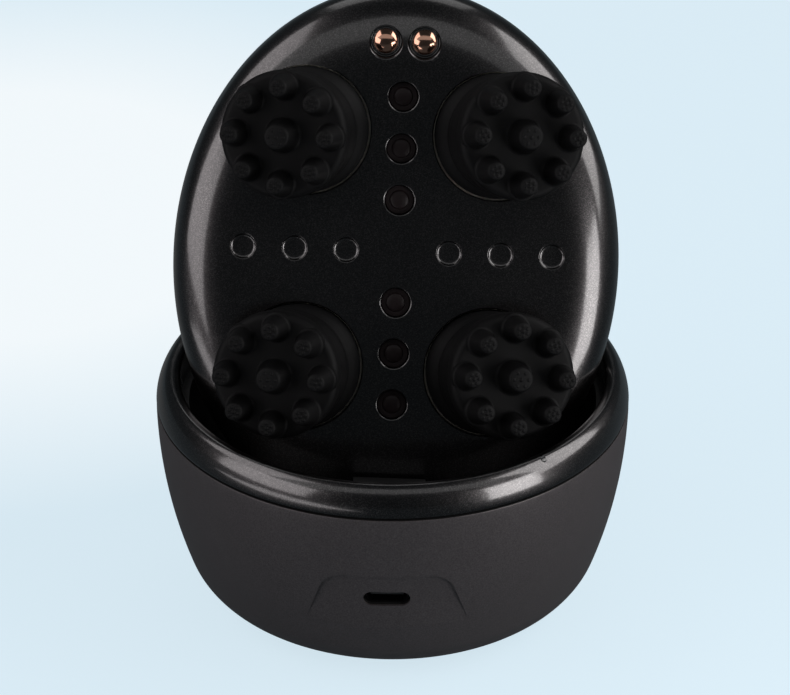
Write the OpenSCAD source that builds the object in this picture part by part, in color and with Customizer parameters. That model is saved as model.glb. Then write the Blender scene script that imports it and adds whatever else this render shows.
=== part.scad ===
// Four-head scalp massager standing in its round charging dock.
// The dock is centred on Z with its feet at Z = 0 and its port on -Y.
// Massager pieces are drawn with the face at Z = 0 looking along +Z, then put in the seat.

/* [Size] */
// Width of the massager: the whole set keeps its proportions to it
body_w = 93.5; // [84:0.5:105]

/* [Dock] */
// Distance from the cup's hollow to the dock's outer edge at the seam
cup_edge = 3.75; // [3.75:0.05:5]
// Height of the seam between bowl and rim
seam_z = 43.5; // [43:0.25:44.5]
// Radius of the side curve of the bowl
side_r = 110; // [100:5:130]
// Radius of the lower corner of the bowl
corner_r = 12; // [10:0.5:14]
// Height of the bowl's lower face above the table
ground_gap = 0.6; // [0.4:0.1:0.8]
// Wall of the bowl
dock_wall = 2.2; // [1.8:0.1:2.4]
// Dark line left between bowl and rim
seam_gap = 0.3; // [0.2:0.05:0.4]

/* [Dock rim] */
// Height of the rim above the seam
rim_h = 6.5; // [6:0.25:7]
// How far inside the dock's edge the rim is highest
crown_in = 3.4; // [3:0.1:3.8]
// How far the opening in the rim lies inside the dock's edge
bore_in = 5.2; // [4.8:0.1:5.2]
// Drop from the crown to the start of the bore
lip_drop = 1.3; // [1:0.1:1.6]
// Diameter of the status light
light_d = 1.2; // [1:0.1:1.6]
// Bearing of the status light from the port
light_turn = 41.3; // [30:1:50]
// How far inside the dock's edge the status light sits
light_in = 2.6; // [2.2:0.1:3]

/* [Cup] */
// How much narrower the hollow is than the massager, on each side
cup_bite = 0.5; // [0.3:0.05:0.5]
// Height of the cup's floor
floor_z = 13.8; // [13.6:0.05:13.8]
// Wall of the cup
cup_wall = 2; // [1.6:0.1:2.2]
// Thickness of the cup's top flange
flange_t = 1.4; // [1.2:0.1:1.6]
// Radius of the soft seat pad
pad_seat_r = 12; // [10:0.5:13]
// Thickness of the soft seat pad
pad_seat_t = 0.6; // [0.4:0.05:0.6]

/* [Base] */
// How far the base plate's edge lies inside the middle of the bowl's corner
base_in = 3.2; // [3.2:0.1:4]
// Thickness of the base plate
base_t = 2.2; // [2:0.1:2.4]
// How far the feet stand inside the base plate's edge
feet_in = 6.8; // [5.8:0.1:8.8]
// Radius of a foot
foot_r = 5; // [4:0.25:5.5]
// How far the base screws sit inside the base plate's edge
screws_in = 9.8; // [8.8:0.1:11.8]

/* [Charging port] */
// Height of the port's centre
port_z = 23.1; // [22.5:0.1:23.6]
// Width of the slot in the bowl
slot_w = 9.6; // [9.4:0.1:10]
// Height of the slot in the bowl
slot_h = 3.6; // [3.5:0.05:3.8]
// Height of the top edge of the port recess
recess_top_z = 29.4; // [28.6:0.1:30.4]
// Width of the recess at its top edge
recess_top_w = 25; // [23:0.5:27]
// Width of the recess where it runs out
recess_low_w = 33.5; // [31:0.5:36]
// Depth of the recess at its top edge
recess_depth = 0.7; // [0.5:0.05:0.9]
// Width of the socket's metal shell
usb_w = 8.94; // [8.9:0.01:9]
// Height of the socket's metal shell
usb_h = 3.26; // [3.2:0.01:3.3]
// Depth of the socket
usb_l = 7.35; // [7:0.05:7.5]

/* [Seat of the massager] */
// How far the face leans back from upright
lean = 23.5; // [23.25:0.25:23.5]
// How far the massager is turned about the dock's axis
turn = 2.5; // [0:0.5:4]
// How far the massager is rolled in the plane of its face
roll = 2.6; // [0:0.2:4]
// Place of the face's centre, left to right
face_x = 1.05; // [0.6:0.05:1.1]
// Place of the face's centre, front to back
face_y = -0.85; // [-1.1:0.05:-0.75]
// Height of the face's centre
face_z = 78; // [78:0.05:78.4]
// Distance from the face's centre to the lower end, which sets how deep the body stands
low_end = 61.15; // [61.1:0.05:61.15]

/* [Massager body] */
// Length of the body
body_l = 116.3; // [115.5:0.1:116.4]
// Depth from the face to the widest section
front_depth = 12; // [11.8:0.1:12.1]
// Depth from the widest section to the back
back_depth = 36; // [35.8:0.1:36.1]
// Width of the rounded shoulder round the face
shoulder_w = 9; // [8.6:0.2:9.6]
// How far the body's centre lies below the middle of the dot pattern
body_drop = 3; // [2.6:0.1:3.1]
// Wall of the massager's shell
shell_wall = 2.2; // [2:0.1:2.3]
// Depth of the parting line behind the face
part_depth = 13; // [12.9:0.1:13.4]

/* [Dots and contacts] */
// Spacing of the round marks
dot_pitch = 10.65; // [10.4:0.05:10.8]
// Radius of the six lit wells
well_r = 3.05; // [2.9:0.05:3.1]
// Depth of the lit wells
well_depth = 1.2; // [1:0.1:1.4]
// Radius of the six dimples
dimple_r = 2.75; // [2.6:0.05:3]
// Depth of the dimples
dimple_depth = 0.6; // [0.4:0.1:0.8]
// Spacing of the two charging contacts
contact_pitch = 8; // [7.8:0.1:8.2]
// Distance from the upper end of the body to the contacts
contact_in = 11.9; // [11.7:0.05:12.3]
// Radius of a contact
contact_r = 2.3; // [2.1:0.05:2.4]
// Radius of the dark collar round a contact
collar_r = 3.3; // [3.2:0.05:3.4]

/* [Massage heads] */
// Spacing of the heads from left to right
head_pitch_x = 39.5; // [39.3:0.1:39.9]
// Radius of the holes that the heads come out of
head_hole_r = 13.3; // [13.1:0.1:13.4]
// Radius of the silicone boots at the face
boot_r = 12.9; // [12.7:0.1:12.9]
// Wall of the boots
boot_wall = 1; // [0.8:0.1:1]
// Width of the inward foot that holds the boot in
boot_foot = 1.8; // [1.4:0.1:2]
// Tilt of the heads' axes
tilt = 12; // [11.5:0.25:12]
// Depth of the point about which the heads nod
pivot_depth = 10; // [9.8:0.1:10]
// Direction in which the right-hand heads lean at rest
head_phase = 9; // [0:1:20]
// Radius of the finger pads
pad_r = 13.1; // [12.8:0.1:13.1]
// Distance from the nod point to the pads' top face
pad_at = 22.5; // [22.4:0.1:22.6]
// Thickness of the finger pads
pad_t = 4; // [3.8:0.1:4]
// Radius of the ring of fingers
finger_at = 9.85; // [9.6:0.05:10]
// Length of the fingers
finger_l = 6.6; // [6:0.1:6.8]
// Radius of a finger at its root
finger_root_r = 2.6; // [2.4:0.1:2.7]
// Radius of a finger near its tip
finger_tip_r = 1.9; // [1.7:0.1:2]
// Radius of the middle finger at its root
middle_root_r = 3.4; // [3.2:0.1:3.6]
// Radius of the middle finger near its tip
middle_tip_r = 2.6; // [2.4:0.1:2.8]

/* [Drive] */
// Teeth of the centre gear
sun_teeth = 37; // [37]
// Teeth of each head's gear
crank_teeth = 26; // [26]
// Gear module
gear_m = 1; // [1]
// Thickness of the gears
gear_t = 4; // [3.6:0.1:4]
// Radius of the skewed posts
post_r = 3; // [2.8:0.1:3.1]
// Radius of the upper crank journals
journal_r = 7; // [6.8:0.1:7.1]
// Radius of the lower crank journals
tail_r = 4; // [3.8:0.1:4.2]
// Radius of the gearmotor's shaft
shaft_r = 3; // [2.8:0.1:3.1]
// Radius of the gearbox
gearbox_r = 14; // [13:0.2:14.2]
// Radius of the motor
motor_r = 12; // [11:0.2:12]
// Length of the motor
motor_l = 8.4; // [7.6:0.1:8.6]

/* [Battery and board] */
// Length of the battery
cell_l = 38; // [36:0.5:38]
// Width of the battery
cell_w = 18; // [16:0.5:18]
// Thickness of the battery
cell_t = 7.5; // [6.5:0.25:7.5]
// Width of the main board
board_w = 36; // [34:0.5:36]
// Height of the main board
board_l = 22; // [20:0.5:22]

/* [Power button] */
// Radius of the button
button_r = 7; // [6.5:0.1:7.2]
// How far the button stands proud of the back
button_proud = 0.6; // [0.4:0.1:0.9]
// How high the button sits above the middle of the pattern
button_y = 27; // [26:0.5:28]
// Travel of the button
button_travel = 0.5; // [0.3:0.05:0.5]

/* [Fits] */
// Gap between still pieces
seat_gap = 0.1; // [0.08:0.01:0.15]
// Radial clearance of running fits
run_gap = 0.05; // [0.04:0.01:0.08]
// Gap round moving pieces
move_gap = 0.3; // [0.25:0.01:0.35]

/* [Hidden] */
$fn = 96;
laid_w = 93.5;
k = body_w / laid_w;
a = laid_w / 2;
ky = body_l / laid_w;
bowl_r = a - cup_bite;
dock_r = bowl_r + cup_edge;
crown_r = dock_r - crown_in;
rim_bore_r = dock_r - bore_in;
light_r = dock_r - light_in;
side_x = dock_r - side_r;
corner_z = ground_gap + corner_r;
corner_x = side_x + sqrt(pow(side_r - corner_r, 2) - pow(seam_z - corner_z, 2));
tangent_z = corner_z - corner_r * (seam_z - corner_z) / (side_r - corner_r);
base_r = corner_x - base_in;
feet_at = base_r - feet_in;
screws_at = base_r - screws_in;
post_at = dock_r - 14.5;
rim_z = seam_z + rim_h;
bowl_z = floor_z + bowl_r;
flange_top = seam_z - 0.2;
base_z = ground_gap + 0.2;
base_top = base_z + base_t;
ledge_t = 1.3;
gear_gap = gear_m * (sun_teeth + crank_teeth) / 2;
hx = head_pitch_x / 2;
hy = sqrt(gear_gap * gear_gap - hx * hx);
floor_in = 3.7;
carrier_top = -12.3;
carrier_t = 3;
gear_top = -17.5;
gear_low = gear_top - gear_t;
back_top = gear_low - 1;
back_low = back_top - 3;
bush_r = journal_r + 2;
ring_r = 15;
contact_y = body_l / 2 - body_drop - contact_in;
stud_x = a - 14.25;
stud_up = (a - 11.13) * ky - body_drop;
stud_low = -(a - 12.98) * ky - body_drop;
stud_places = [
  [stud_x, 0], [-stud_x, 0], [11, stud_up], [-11, stud_up], [11, stud_low], [-11, stud_low]
];
stud_r = 2.5;
screw_r = 1.25;
pegs = [[-15, 18.5], [15, 18.5], [-15, 35.5], [15, 35.5]];
board_z = back_low - 1.2;
pin_y = -2 * body_drop - contact_y;
block_at = 2.6;

black = [0.06, 0.06, 0.065];
pearl = [0.09, 0.09, 0.095];
satin = [0.2, 0.19, 0.19];
steel = [0.72, 0.73, 0.75];
gold = [0.83, 0.62, 0.36];
green = [0.08, 0.3, 0.16];
nylon = [0.86, 0.85, 0.8];
rubber = [0.04, 0.04, 0.045];

// ---------- shared shapes ----------

module sized() {
  scale([k, k, k]) children();
}

module seated() {
  translate([face_x, face_y, face_z])
    rotate([0, 0, turn])
      rotate([90 - lean, 0, 0])
        rotate([0, 0, -roll])
          translate([0, body_l / 2 + body_drop - low_end, 0])
            children();
}

// Half profile of the bowl, moved inwards by o
module bowl_half(o = 0) {
  intersection() {
    union() {
      intersection() {
        translate([side_x, seam_z]) circle(side_r - o, $fn = 360);
        translate([0, tangent_z]) square([dock_r, seam_z - tangent_z]);
      }
      translate([corner_x, corner_z]) circle(corner_r - o);
      translate([0, ground_gap + o]) square([corner_x, seam_z - ground_gap - o]);
      translate([0, corner_z]) square([corner_x + corner_r - o - 1, seam_z - corner_z]);
    }
    square([dock_r + 1, seam_z]);
  }
}

module ring(r_out, r_in, z0, z1) {
  translate([0, 0, z0])
    difference() {
      cylinder(r = r_out, h = z1 - z0);
      translate([0, 0, -1]) cylinder(r = r_in, h = z1 - z0 + 2);
    }
}

// Half profile of the massager, moved inwards by o, with depth as -Y
module body_half(o = 0) {
  intersection() {
    union() {
      translate([a - shoulder_w, -front_depth])
        scale([shoulder_w - o, front_depth - o]) circle(1, $fn = 128);
      translate([0, -front_depth]) square([a - shoulder_w, front_depth - o]);
      difference() {
        translate([0, -front_depth])
          scale([a - o, back_depth - o]) circle(1, $fn = 128);
        translate([-100, -front_depth]) square([200, 100]);
      }
    }
    translate([0, -front_depth - back_depth]) square([a + 1, front_depth + back_depth]);
  }
}

// Oval body, built in quarters
module body(o = 0) {
  for (q = [0:3])
    translate([0, -body_drop, 0])
      scale([1, ky, 1])
        rotate([0, 0, 90 * q])
          rotate_extrude(angle = 90) body_half(o);
}

// Shell wall between two heights, also in quarters
module body_wall(low, high) {
  for (q = [0:3])
    translate([0, -body_drop, 0])
      scale([1, ky, 1])
        rotate([0, 0, 90 * q])
          rotate_extrude(angle = 90)
            intersection() {
              difference() {
                body_half(0);
                body_half(shell_wall);
              }
              translate([0, low]) square([a + 1, high - low]);
            }
}

module back_profile() {
  intersection() {
    difference() {
      body_half(0);
      body_half(shell_wall);
    }
    translate([0, -60]) square([a + 1, 60 - part_depth - 0.05]);
  }
}

module oval_ring(w, t, h) {
  for (q = [0:3])
    translate([0, -body_drop, 0])
      scale([1, ky, 1])
        rotate([0, 0, 90 * q])
          rotate_extrude(angle = 90) translate([w - t, 0]) square([t, h]);
}

module oval(w, h) {
  linear_extrude(height = h)
    translate([0, -body_drop]) scale([w, w * ky]) circle(1, $fn = 96);
}

module each_head() {
  for (sx = [-1, 1], sy = [-1, 1])
    translate([sx * hx, sy * hy, 0]) children();
}

// Frame of one head: sx and sy pick it, the lean follows its side
function lean_dir(sx) = head_phase + (sx > 0 ? 0 : 180);

module head_axis(sx, sy) {
  translate([sx * hx, sy * hy, -pivot_depth])
    rotate([0, 0, lean_dir(sx)])
      rotate([0, tilt, 0])
        rotate([0, 0, -lean_dir(sx)])
          children();
}

// ---------- gears ----------

function inv_pt(rb, t) = [
  rb * (cos(t) + t * PI / 180 * sin(t)),
  rb * (sin(t) - t * PI / 180 * cos(t))
];
function roll_at(rb, r) = r > rb ? sqrt(r * r / (rb * rb) - 1) * 180 / PI : 0;
function turned(p, ang) = [
  p[0] * cos(ang) - p[1] * sin(ang),
  p[0] * sin(ang) + p[1] * cos(ang)
];
function flipped(p) = [p[0], -p[1]];

function tooth(n, thin) =
  let (
    r = gear_m * n / 2,
    rb = r * cos(20),
    ra = r + gear_m * 0.95,
    rf = r - gear_m * 1.2,
    tp = roll_at(rb, r),
    half = 90 / n - thin / r * 90 / PI,
    shift = half + tp - atan(tp * PI / 180),
    flank = [for (i = [0:4]) turned(flipped(inv_pt(rb, roll_at(rb, rb + (ra - rb) * i / 4))), shift)],
    foot = turned([rf, 0], shift)
  )
  concat([flipped(foot)], [for (i = [0:4]) flipped(flank[i])], [for (i = [4:-1:0]) flank[i]], [foot]);

module gear_2d(n, first = 0, thin = 0.06) {
  polygon([for (k = [0:n - 1]) for (p = tooth(n, thin)) turned(p, first + 360 * k / n)]);
}

// ---------- dock ----------

module dock_shell() {
  color(satin)
    difference() {
      union() {
        difference() {
          rotate_extrude() bowl_half(0);
          rotate_extrude() bowl_half(dock_wall);
          translate([0, 0, seam_z - 0.01]) cylinder(r = dock_r - dock_wall, h = 2);
        }
        ring(corner_x + 1, base_r + seat_gap, ground_gap + 1, base_top + seat_gap + ledge_t);
        ring(base_r + 1, base_r - 2.8, base_top + seat_gap, base_top + seat_gap + ledge_t);
        intersection() {
          ring(dock_r, dock_r - dock_wall - 2.4,
            flange_top - flange_t - 1.5, flange_top - flange_t - seat_gap);
          rotate_extrude() bowl_half(0.5);
        }
        for (s = [-1, 1])
          intersection() {
            translate([9 * s, -post_at, 1.2])
              cylinder(r = 2.4, h = port_z - usb_h / 2 - 1.2 - 1.2 - seat_gap);
            rotate_extrude() bowl_half(0.5);
          }
      }
      translate([0, 0, -1]) cylinder(r = base_r + seat_gap, h = base_top + seat_gap + 1);
      translate([0, 0, -1]) cylinder(r = base_r - 2.8, h = 20);
      for (s = [-1, 1]) translate([9 * s, -post_at, port_z - 12]) cylinder(r = 0.95, h = 20);
      port_slot();
      port_recess();
    }
}

module port_slot() {
  for (s = [-1, 1])
    translate([s * (slot_w - slot_h) / 2, 0, port_z])
      rotate([90, 0, 0]) cylinder(r = slot_h / 2, h = 60);
  translate([-(slot_w - slot_h) / 2, -60, port_z - slot_h / 2])
    cube([slot_w - slot_h, 60, slot_h]);
}

function side_at(z) = side_x + sqrt(side_r * side_r - (seam_z - z) * (seam_z - z));

// Shallow recess: a rounded outline that runs out into the bowl below
module port_recess() {
  low = 15.5;
  round_r = 5;
  slope = atan((recess_low_w - recess_top_w) / 2 / (recess_top_z - low));
  inset = round_r * tan((90 - slope) / 2);
  difference() {
    translate([0, -30, 0])
      rotate([90, 0, 0])
        linear_extrude(height = 40)
          union() {
            intersection() {
              polygon([
                [-recess_low_w / 2, low], [recess_low_w / 2, low],
                [recess_top_w / 2, recess_top_z], [-recess_top_w / 2, recess_top_z]
              ]);
              union() {
                square([recess_top_w - 2 * inset, 100], center = true);
                translate([-50, low]) square([100, recess_top_z - low - round_r]);
                for (s = [-1, 1])
                  translate([s * (recess_top_w / 2 - inset), recess_top_z - round_r]) circle(round_r);
              }
            }
          }
    cylinder(r1 = side_at(low - 5) + 0.05, r2 = side_at(recess_top_z) - recess_depth, h = 0.001);
    translate([0, 0, low])
      cylinder(r1 = side_at(low) + 0.1, r2 = side_at(recess_top_z) - recess_depth,
        h = recess_top_z - low + 0.01);
  }
}

module rim_half() {
  z0 = seam_z + seam_gap;
  difference() {
    union() {
      intersection() {
        translate([crown_r, z0]) scale([dock_r - crown_r, rim_z - z0]) circle(1);
        translate([crown_r, z0]) square([20, 20]);
      }
      intersection() {
        translate([crown_r, rim_z - lip_drop]) scale([crown_r - rim_bore_r, lip_drop]) circle(1);
        translate([0, rim_z - lip_drop]) square([crown_r, 20]);
      }
      translate([rim_bore_r, flange_top + seat_gap])
        square([crown_r - rim_bore_r, rim_z - lip_drop - flange_top - seat_gap]);
      translate([crown_r - 0.01, flange_top + seat_gap])
        square([dock_r - dock_wall - 0.3 - crown_r, 2]);
    }
  }
}

module light_hole(r) {
  rotate([0, 0, light_turn - 90])
    translate([light_r, 0, flange_top + seat_gap]) cylinder(r = r, h = 20, $fn = 32);
}

module dock_rim() {
  color(pearl)
    difference() {
      rotate_extrude() rim_half();
      light_hole(light_d / 2 + 0.05);
    }
}

module status_light() {
  color([0.8, 0.85, 0.9])
    intersection() {
      light_hole(light_d / 2);
      rotate_extrude() rim_half();
    }
}

module dock_cup() {
  color(black)
    difference() {
      union() {
        intersection() {
          translate([0, 0, bowl_z]) sphere(bowl_r + cup_wall);
          cylinder(r = 60, h = flange_top);
        }
        translate([0, 0, flange_top - flange_t]) cylinder(r = dock_r - dock_wall - 0.3, h = flange_t);
        for (q = [0:3])
          rotate([0, 0, 90 * q])
            translate([screws_at, 0, base_top + seat_gap]) cylinder(r = 3.2, h = 16);
      }
      translate([0, 0, bowl_z]) sphere(bowl_r);
      for (q = [0:3])
        rotate([0, 0, 90 * q])
          translate([screws_at, 0, 0]) cylinder(r = 1.15, h = 12);
    }
}

module seat_pad() {
  color(rubber)
    intersection() {
      difference() {
        translate([0, 0, bowl_z]) sphere(bowl_r - 0.02);
        translate([0, 0, bowl_z]) sphere(bowl_r - pad_seat_t);
      }
      translate([0, -9.4, 0]) cylinder(r = pad_seat_r, h = 30);
    }
}

module base_plate() {
  color(satin)
    difference() {
      translate([0, 0, base_z]) cylinder(r = base_r, h = base_t);
      for (q = [0:3])
        rotate([0, 0, 90 * q])
          translate([screws_at, 0, 0]) {
            cylinder(r = 1.4, h = 10);
            cylinder(r = 2.6, h = base_z + 1.4);
          }
      for (q = [0:3])
        rotate([0, 0, 45 + 90 * q])
          translate([feet_at, 0, 0]) cylinder(r = foot_r + seat_gap, h = base_z + 0.6);
    }
}

module dock_feet() {
  color(rubber)
    for (q = [0:3])
      rotate([0, 0, 45 + 90 * q])
        translate([feet_at, 0, 0]) {
          cylinder(r1 = foot_r - 0.4, r2 = foot_r, h = 0.4);
          translate([0, 0, 0.4]) cylinder(r = foot_r, h = base_z + 0.6 - 0.45);
        }
}

module dock_screws() {
  color(steel)
    for (q = [0:3])
      rotate([0, 0, 90 * q])
        translate([screws_at, 0, 0]) {
          translate([0, 0, base_z + 0.15]) cylinder(r = 2.3, h = 1.2);
          translate([0, 0, base_z + 1]) cylinder(r = 1.1, h = 9);
        }
}

module charge_board() {
  color(green)
    difference() {
      intersection() {
        translate([-12, -post_at - 8.5, port_z - usb_h / 2 - 1.2]) cube([24, 13, 1.2 - 0.05]);
        cylinder(r = side_at(19) - dock_wall - 0.6, h = 40);
      }
      for (s = [-1, 1]) translate([9 * s, -post_at, 0]) cylinder(r = 1.2, h = 40);
    }
}

module board_screws() {
  color(steel)
    for (s = [-1, 1])
      translate([9 * s, -post_at, 0]) {
        translate([0, 0, port_z - usb_h / 2]) cylinder(r = 1.9, h = 1.1, $fn = 48);
        translate([0, 0, port_z - usb_h / 2 - 6]) cylinder(r = 0.9, h = 6.5, $fn = 48);
      }
}

module charge_chip() {
  color(black)
    translate([-3, -post_at - 1.1, port_z - usb_h / 2]) cube([6, 4.6, 1.4]);
}

module flat_tube(w, h, l) {
  rotate([90, 0, 0])
    linear_extrude(height = l)
      union() {
        for (s = [-1, 1]) translate([s * (w - h) / 2, 0]) circle(h / 2);
        square([w - h, h], center = true);
      }
}

module usb_shell() {
  mouth = side_at(port_z) - recess_depth - 1.3;
  color(steel)
    translate([0, -mouth, port_z])
      difference() {
        translate([0, usb_l, 0]) flat_tube(usb_w, usb_h, usb_l);
        translate([0, usb_l - 1, 0]) flat_tube(usb_w - 0.6, usb_h - 0.6, usb_l);
      }
}

module usb_tongue() {
  mouth = side_at(port_z) - recess_depth - 1.3;
  color(black)
    translate([0, -mouth, port_z]) {
      translate([-3.35, 0.9, -0.35]) cube([6.7, usb_l - 1.95, 0.7]);
      translate([0, usb_l - 1.05, 0]) flat_tube(usb_w - 0.7, usb_h - 0.7, 1);
    }
}

module pin_block() {
  color(black)
    intersection() {
      seated()
        difference() {
          translate([-7.5, pin_y - 7, block_at]) cube([15, 9.3, 26]);
          for (s = [-1, 1])
            translate([s * contact_pitch / 2, pin_y, 0]) cylinder(r = 1.27, h = block_at + 8.4, $fn = 48);
        }
      translate([0, 0, bowl_z]) sphere(bowl_r - 0.05);
    }
}

module pin_barrels() {
  color(gold)
    seated()
      for (s = [-1, 1])
        translate([s * contact_pitch / 2, pin_y, block_at + 0.1])
          difference() {
            cylinder(r = 1.25, h = 8.2, $fn = 48);
            translate([0, 0, -1]) cylinder(r = 1, h = 8.2, $fn = 48);
          }
}

module charge_pin(s) {
  color(gold)
    seated()
      translate([s * contact_pitch / 2, pin_y, 0])
        rotate_extrude($fn = 48)
          union() {
            translate([0, 1]) square([0.93, block_at + 4]);
            intersection() {
              translate([0, 1.23]) circle(0.93);
              translate([0, 0.3]) square([1, 1]);
            }
          }
}

module pin_left() { charge_pin(-1); }
module pin_right() { charge_pin(1); }

module charge_spring(s) {
  color(steel)
    seated()
      translate([s * contact_pitch / 2, pin_y, block_at + 5.2])
        rotate_extrude($fn = 48)
          for (k = [0:7]) translate([0.72, 0.28 * k]) circle(0.16, $fn = 24);
}

module spring_left() { charge_spring(-1); }
module spring_right() { charge_spring(1); }

// ---------- massager, still pieces ----------

module face_plate() {
  color(pearl)
    seated()
      difference() {
        union() {
          body_wall(-part_depth, 1);
          for (p = stud_places)
            translate([p[0], p[1], carrier_top + seat_gap])
              cylinder(r = stud_r, h = -carrier_top - seat_gap - 1.5, $fn = 48);
          intersection() {
            each_head() ring(ring_r + 0.9, ring_r + seat_gap, -5.5, -1.5);
            body(0.8);
          }
          for (y = [-37, 0, 37])
            translate([0, y, -4.6]) cylinder(r = 1.5, h = 3.6, $fn = 32);
        }
        each_head() translate([0, 0, -8]) cylinder(r = head_hole_r, h = 12);
        for (i = [1, 2, 3], s = [-1, 1])
          translate([0, s * i * dot_pitch, -5]) cylinder(r = well_r, h = 10, $fn = 64);
        for (i = [1, 2, 3], s = [-1, 1])
          translate([s * i * dot_pitch, 0, -dimple_depth]) cylinder(r = dimple_r, h = 10, $fn = 64);
        for (s = [-1, 1])
          translate([s * contact_pitch / 2, contact_y, -5]) cylinder(r = collar_r + 0.05, h = 10, $fn = 64);
        for (p = stud_places)
          translate([p[0], p[1], carrier_top - 1]) cylinder(r = screw_r + 0.03, h = 8.2, $fn = 48);
      }
}

module back_shell() {
  color(pearl)
    seated()
      translate([0, -body_drop, 0])
        scale([1, ky, 1])
          difference() {
            // Quarters meet beside the button, and its hole is round once the oval is stretched
            for (q = [0:3])
              rotate([0, 0, 45 + 90 * q])
                rotate_extrude(angle = 90) back_profile();
            scale([1, 1 / ky, 1])
              translate([0, button_y + body_drop, -80]) cylinder(r = button_r + 0.25, h = 60);
          }
}

module led_lenses() {
  color([0.12, 0.03, 0.03])
    seated()
      for (i = [1, 2, 3], s = [-1, 1])
        translate([0, s * i * dot_pitch, 0]) {
          translate([0, 0, -shell_wall - 0.8]) cylinder(r = 3.4, h = 0.75, $fn = 64);
          translate([0, 0, -shell_wall - 0.1])
            cylinder(r = well_r - 0.05, h = shell_wall - well_depth + 0.1, $fn = 64);
          intersection() {
            translate([0, 0, -well_depth - 2.6]) sphere(3.2);
            translate([0, 0, -well_depth - 0.1]) cylinder(r = 2, h = 3);
          }
        }
}

module led_board() {
  color(green)
    seated()
      translate([-3, -39, -5.7]) cube([6, 78, 1]);
}

module led_chips() {
  color([0.9, 0.88, 0.7])
    seated()
      for (i = [1, 2, 3], s = [-1, 1])
        translate([-1.4, s * i * dot_pitch - 1.75, -4.68]) cube([2.8, 3.5, 0.8]);
}

module contact_collars() {
  color(black)
    seated()
      for (s = [-1, 1])
        translate([s * contact_pitch / 2, contact_y, 0])
          difference() {
            union() {
              translate([0, 0, -4]) cylinder(r = collar_r, h = 3.1, $fn = 64);
              translate([0, 0, -4]) cylinder(r = collar_r + 0.4, h = 0.9, $fn = 64);
            }
            translate([0, 0, -6]) cylinder(r = contact_r + 0.03, h = 8, $fn = 64);
          }
}

module contact_pins() {
  color(gold)
    seated()
      for (s = [-1, 1])
        translate([s * contact_pitch / 2, contact_y, 0]) {
          translate([0, 0, -5]) cylinder(r = contact_r, h = 4.1, $fn = 64);
          intersection() {
            translate([0, 0, -0.9 - 1.7]) sphere(sqrt(contact_r * contact_r + 1.7 * 1.7));
            translate([0, 0, -1]) cylinder(r = contact_r, h = 4, $fn = 64);
          }
        }
}

module boot_rings() {
  color(nylon)
    seated()
      intersection() {
        each_head() ring(ring_r, 9.4, -5.4, -4);
        translate([0, 0, -6]) oval(a - shell_wall - 3.3, 3);
      }
}

module front_carrier() {
  color(nylon)
    seated()
      difference() {
        translate([0, 0, carrier_top - carrier_t]) oval(a - 6.25, carrier_t);
        each_head() translate([0, 0, -30]) cylinder(r = bush_r + 0.02, h = 30);
        for (p = stud_places)
          translate([p[0], p[1], -30]) cylinder(r = screw_r + 0.15, h = 30, $fn = 48);
        translate([0, 0, -30]) cylinder(r = 8, h = 30);
        for (s = [-1, 1]) translate([s * 22, 0, -30]) cylinder(r = 5.5, h = 30);
        for (y = [-36, 33]) translate([0, y, -30]) cylinder(r = 4.5, h = 30);
      }
}

module rear_carrier() {
  color(nylon)
    seated()
      difference() {
        union() {
          translate([0, 0, back_low]) oval(a - 8.25, back_top - back_low);
          for (p = stud_places)
            translate([p[0], p[1], back_low])
              cylinder(r = 3, h = carrier_top - carrier_t - seat_gap - back_low, $fn = 48);
          for (p = pegs) {
            translate([p[0], p[1], board_z + 0.05]) cylinder(r = 1.8, h = 3, $fn = 32);
            translate([p[0], p[1], board_z - 1.7]) cylinder(r = 0.95, h = 4, $fn = 32);
          }
        }
        each_head() translate([0, 0, -40]) cylinder(r = tail_r + run_gap, h = 30);
        translate([0, 0, -40]) cylinder(r = shaft_r + move_gap, h = 30);
        for (p = stud_places)
          translate([p[0], p[1], -40]) cylinder(r = screw_r + 0.15, h = 40, $fn = 48);
        for (s = [-1, 1])
          translate([s * 11, 0, -40]) cylinder(r = 0.85, h = 30, $fn = 32);
      }
}

module crank_bushes() {
  color([0.75, 0.55, 0.3])
    seated()
      each_head() ring(bush_r, journal_r + run_gap, carrier_top - carrier_t, carrier_top);
}

module chassis_screws() {
  color(steel)
    seated()
      for (p = stud_places)
        translate([p[0], p[1], 0]) {
          translate([0, 0, back_low - 1.7]) cylinder(r = 2.4, h = 1.6, $fn = 48);
          translate([0, 0, back_low - 0.5]) cylinder(r = screw_r, h = -6 - back_low + 0.5, $fn = 48);
        }
}

module gearbox() {
  color(steel)
    seated()
      difference() {
        translate([0, 0, back_low - 8.5]) cylinder(r = gearbox_r, h = 8.4);
        translate([0, 0, back_low - 3]) cylinder(r = shaft_r + run_gap, h = 10);
        for (s = [-1, 1])
          translate([s * 11, 0, back_low - 9]) cylinder(r = 0.95, h = 20, $fn = 32);
        for (s = [-1, 1])
          translate([s * 11, 0, back_low - 9]) cylinder(r = 1.8, h = 6.5, $fn = 32);
      }
}

module gearbox_screws() {
  color(steel)
    seated()
      for (s = [-1, 1])
        translate([s * 11, 0, 0]) {
          translate([0, 0, back_low - 3.7]) cylinder(r = 1.6, h = 1.1, $fn = 32);
          translate([0, 0, back_low - 3]) cylinder(r = 0.8, h = 5.6, $fn = 32);
        }
}

module motor() {
  color([0.6, 0.6, 0.62])
    seated() {
      translate([0, 0, back_low - 8.55 - motor_l]) cylinder(r = motor_r, h = motor_l);
    }
}

module battery() {
  color([0.25, 0.35, 0.6])
    seated()
      translate([-cell_l / 2, -29 - cell_w / 2, back_low - 0.1 - cell_t]) cube([cell_l, cell_w, cell_t]);
}

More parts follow.
